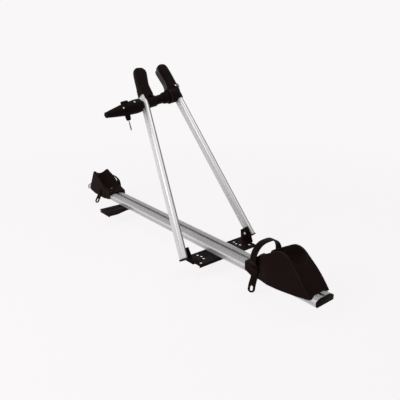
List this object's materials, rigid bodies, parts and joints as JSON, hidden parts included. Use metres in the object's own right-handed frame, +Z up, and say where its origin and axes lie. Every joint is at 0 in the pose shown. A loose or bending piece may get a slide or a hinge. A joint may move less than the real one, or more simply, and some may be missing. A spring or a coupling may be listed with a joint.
{
  "type": "roof mounted bike carrier",
  "caption": "Roof mounted bike carrier with a slotted aluminium rail, wheel scoops with straps, and a folding two-legged arm with a lockable frame clamp",
  "frame": {"origin": "on the base plate's underside, on the centre line of the rail, where the plate seats on the roof bar", "axes": "+X along the rail towards the front wheel scoop, +Y across the rail to the side without the handle, +Z up"},
  "size_m": [1.3, 0.39, 0.6172],
  "materials": {
    "rail_aluminium": "mill-drawn extrusion, satin",
    "leg_aluminium": "satin anodised tube",
    "black_steel": "powder coated black sheet steel",
    "zinc_steel": "zinc plated",
    "key_steel": "nickel plated",
    "black_plastic": "moulded, matte",
    "jaw_plastic": "moulded, fine grain",
    "scoop_plastic": "moulded, fine grain",
    "pad_rubber": "smooth rubber",
    "strap_rubber": "moulded rubber"
  },
  "bodies": {
    "base": {"rail": "rail_aluminium", "rail_end_caps": "black_plastic", "base_plate": "black_steel", "base_plate_bolts": "zinc_steel", "base_plate_nuts": "zinc_steel"},
    "rear_foot": {"rear_bracket": "black_steel", "rear_bracket_bolt": "zinc_steel", "rear_bracket_nut": "zinc_steel"},
    "left_arm": {"left_leg": "leg_aluminium", "left_foot_plug": "black_plastic", "left_pivot_bolt": "zinc_steel", "left_pivot_spacer": "black_plastic", "left_jaw": "jaw_plastic", "left_jaw_pad": "pad_rubber", "left_jaw_screw": "zinc_steel", "clamp_drum": "jaw_plastic", "thrust_washer": "black_plastic"},
    "right_arm": {"right_leg": "leg_aluminium", "right_foot_plug": "black_plastic", "right_pivot_bolt": "zinc_steel", "right_pivot_spacer": "black_plastic", "right_jaw": "jaw_plastic", "right_jaw_pad": "pad_rubber", "right_jaw_screw": "zinc_steel", "rod_nut": "zinc_steel"},
    "clamp_screw": {"clamp_rod": "zinc_steel", "clamp_handle": "jaw_plastic", "lock_barrel": "jaw_plastic"},
    "key": {"lock_cylinder": "key_steel", "lock_key": "key_steel"},
    "front_holder": {"front_wheel_scoop": "scoop_plastic", "front_scoop_bolt": "zinc_steel", "front_scoop_nut": "zinc_steel", "front_strap": "strap_rubber", "front_strap_keeper": "black_plastic", "front_strap_rivet": "zinc_steel"},
    "rear_holder": {"rear_wheel_scoop": "scoop_plastic", "rear_scoop_bolt": "zinc_steel", "rear_scoop_nut": "zinc_steel", "rear_strap": "strap_rubber", "rear_strap_keeper": "black_plastic"}
  },
  "joints": [
    {"name": "rear_foot_slide", "type": "slide", "parent": "base", "child": "rear_foot", "axis": [1, 0, 0], "range_m": [0, 0.2]},
    {"name": "arm_fold", "type": "hinge", "parent": "base", "child": "left_arm", "pos_m": [-0.0215, 0, 0.024], "axis": [0, 1, 0], "range_deg": [-50, 35]},
    {"name": "jaw_close", "type": "hinge", "parent": "left_arm", "child": "right_arm", "pos_m": [-0.0215, 0.129, 0.024], "axis": [0.8192, 0, 0.5736], "range_deg": [0, 2.2]},
    {"name": "clamp_turn", "type": "hinge", "parent": "left_arm", "child": "clamp_screw", "pos_m": [-0.32808, 0, 0.46184], "axis": [-0.0947, 0.9863, 0.1352], "range_deg": [0, 3780]},
    {"name": "key_turn", "type": "hinge", "parent": "clamp_screw", "child": "key", "pos_m": [-0.30771, -0.14398, 0.40218], "axis": [-0.1494, -0.1483, 0.9776], "range_deg": [0, 90]},
    {"name": "front_scoop_slide", "type": "slide", "parent": "base", "child": "front_holder", "axis": [1, 0, 0], "range_m": [-0.08, 0.008]},
    {"name": "rear_scoop_slide", "type": "slide", "parent": "base", "child": "rear_holder", "axis": [1, 0, 0], "range_m": [-0.02, 0.06]}
  ],
  "couplings": [
    {"joint": "jaw_close", "follows": "clamp_turn", "ratio": 0.000582}
  ]
}
